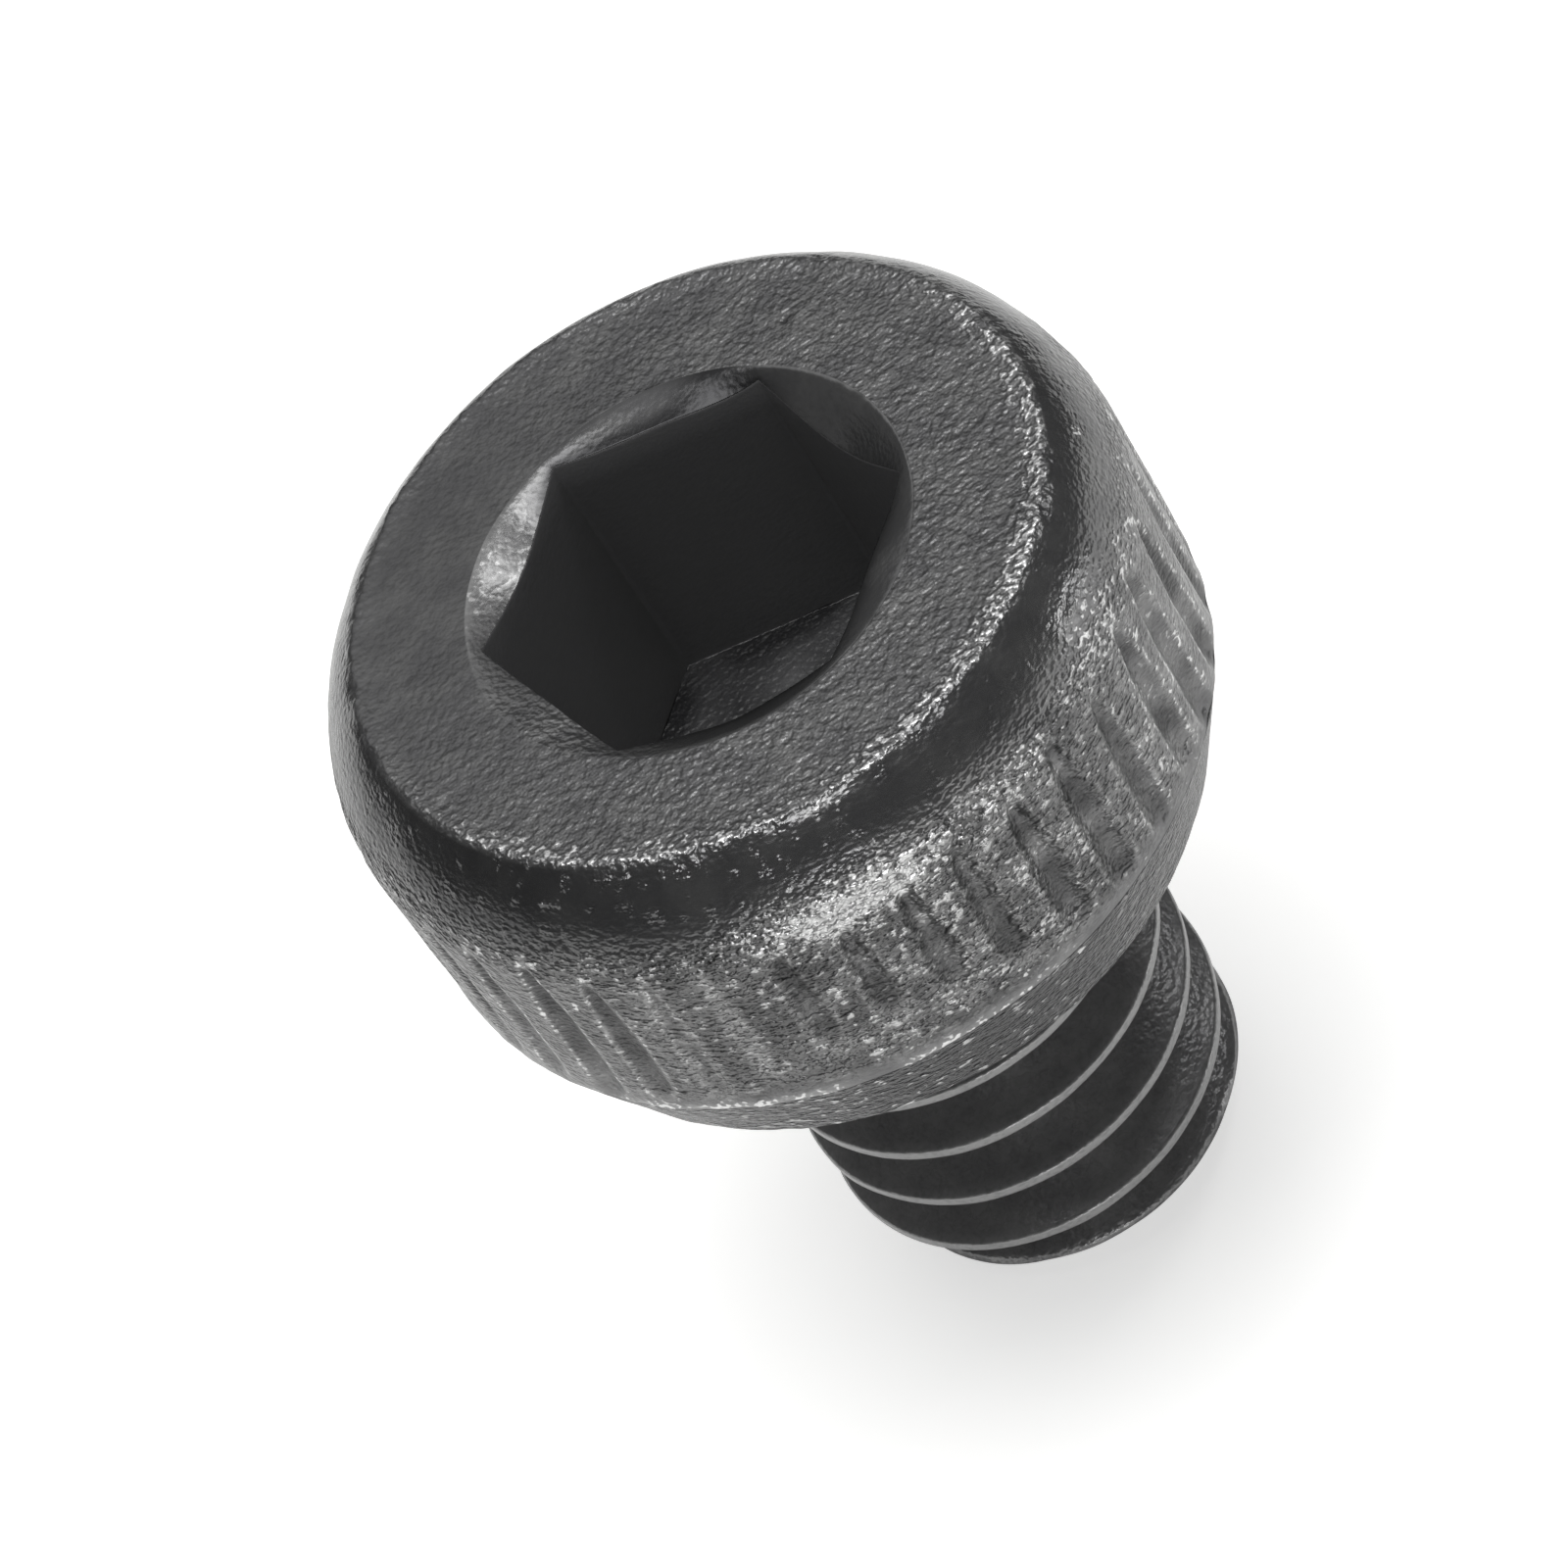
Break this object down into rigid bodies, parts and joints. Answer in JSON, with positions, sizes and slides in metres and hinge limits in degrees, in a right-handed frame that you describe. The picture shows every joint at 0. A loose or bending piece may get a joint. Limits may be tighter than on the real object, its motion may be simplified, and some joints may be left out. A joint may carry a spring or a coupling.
{
  "type": "socket head cap screw",
  "caption": "Short socket head cap screw: knurled round head with a rounded shoulder and countersunk hexagon socket, right-hand threaded shank with a chamfered flat tip.",
  "frame": {"origin": "centre of the bearing face under the head, on the screw's axis", "axes": "+Z along the axis, from the tip up to the crown of the head; -Y is the side that the picture shows"},
  "size_m": [0.0056, 0.0056, 0.0068],
  "materials": {
    "black_steel": "black oxide on forged and rolled steel, grainy, with edges worn to bright metal"
  },
  "bodies": {
    "root": {"screw": "black_steel"}
  },
  "joints": []
}
